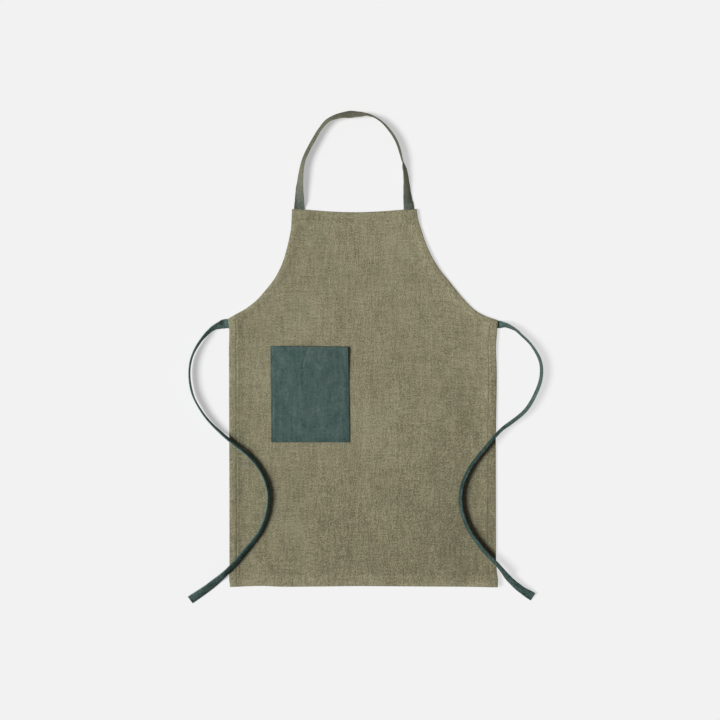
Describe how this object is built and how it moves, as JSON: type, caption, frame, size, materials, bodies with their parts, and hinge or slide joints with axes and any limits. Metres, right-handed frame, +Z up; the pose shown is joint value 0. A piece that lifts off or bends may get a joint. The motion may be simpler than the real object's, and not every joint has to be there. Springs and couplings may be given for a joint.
{
  "type": "kids apron",
  "caption": "Kids bib apron lying flat, with a patch pocket, a fixed neck strap and two waist ties.",
  "frame": {"origin": "on the floor under the middle of the panel, at its flat underside", "axes": "+Y from the bottom hem up to the bib and neck loop, +X to the right seen from above, +Z up out of the front of the apron"},
  "size_m": [0.57, 0.7906, 0.0203],
  "materials": {
    "melange_cloth": "khaki olive melange plain weave with fine slubs, matte",
    "teal_cloth": "washed dark teal plain weave, matte, slightly mottled",
    "strap_tape": "grey olive folded cloth tape, matte, edge stitched",
    "tie_tape": "dark teal folded cloth tape, matte, edge stitched"
  },
  "bodies": {
    "root": {"body_panel": "melange_cloth", "pocket": "teal_cloth", "neck_strap": "strap_tape", "waist_tie_left": "tie_tape", "waist_tie_right": "tie_tape"}
  },
  "joints": []
}
